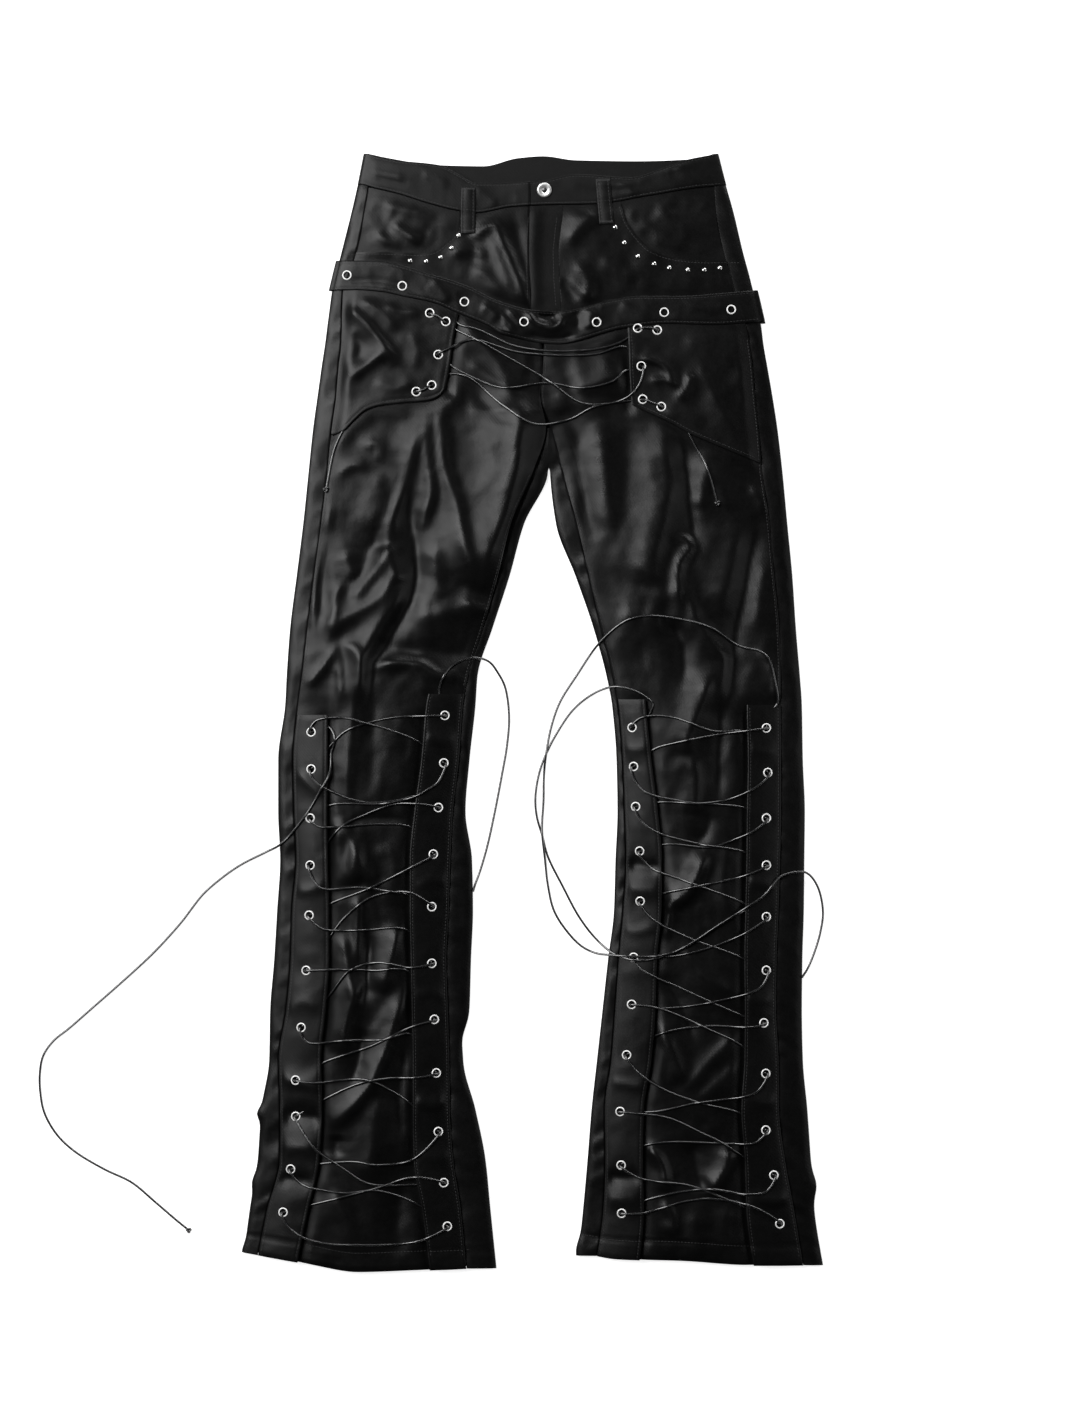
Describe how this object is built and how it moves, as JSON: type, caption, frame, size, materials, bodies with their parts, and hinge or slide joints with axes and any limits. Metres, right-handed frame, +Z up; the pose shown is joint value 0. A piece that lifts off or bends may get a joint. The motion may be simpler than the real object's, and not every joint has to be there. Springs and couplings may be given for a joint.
{
  "type": "laced jeans",
  "caption": "Black coated flared jeans laid flat, with eyelet straps down the legs and hip flaps, criss-cross laced with round cord.",
  "frame": {"origin": "middle of the garment's outline on the floor it lies on, measured without the laces", "axes": "+Y up the legs to the waist, +X to the wearer's left (the viewer's right from above), +Z up from the floor through back and front"},
  "size_m": [0.786, 1.1184, 0.018],
  "materials": {
    "coated_denim": "waxed coating, satin sheen, fine twill",
    "waistband_denim": "waxed coating, satin sheen",
    "facing_denim": "waxed coating, satin sheen",
    "strap_denim": "waxed coating, satin sheen, edge stitched",
    "waxed_lace": "round waxed cord, faint sheen",
    "bright_steel": "bright polished"
  },
  "bodies": {
    "root": {"front_right": "coated_denim", "front_left": "coated_denim", "back_right": "coated_denim", "back_left": "coated_denim", "pocket_facing_right": "facing_denim", "pocket_facing_left": "facing_denim", "fly": "coated_denim", "waistband": "waistband_denim", "button": "bright_steel", "belt_loop_right": "waistband_denim", "belt_loop_left": "waistband_denim", "stud_right_1": "bright_steel", "stud_right_2": "bright_steel", "stud_right_3": "bright_steel", "stud_right_4": "bright_steel", "stud_right_5": "bright_steel", "stud_left_1": "bright_steel", "stud_left_2": "bright_steel", "stud_left_3": "bright_steel", "stud_left_4": "bright_steel", "stud_left_5": "bright_steel", "stud_left_6": "bright_steel", "stud_left_7": "bright_steel", "stud_left_8": "bright_steel", "hip_band_front": "strap_denim", "hip_band_back": "strap_denim", "flap_right": "strap_denim", "flap_left": "strap_denim", "strap_right_outseam": "strap_denim", "strap_right_inseam": "strap_denim", "strap_left_inseam": "strap_denim", "strap_left_outseam": "strap_denim", "lace_leg_right": "waxed_lace", "lace_leg_left": "waxed_lace", "lace_hip": "waxed_lace", "knot_leg_right": "waxed_lace", "knot_hip_right": "waxed_lace", "knot_hip_left": "waxed_lace"}
  },
  "joints": []
}
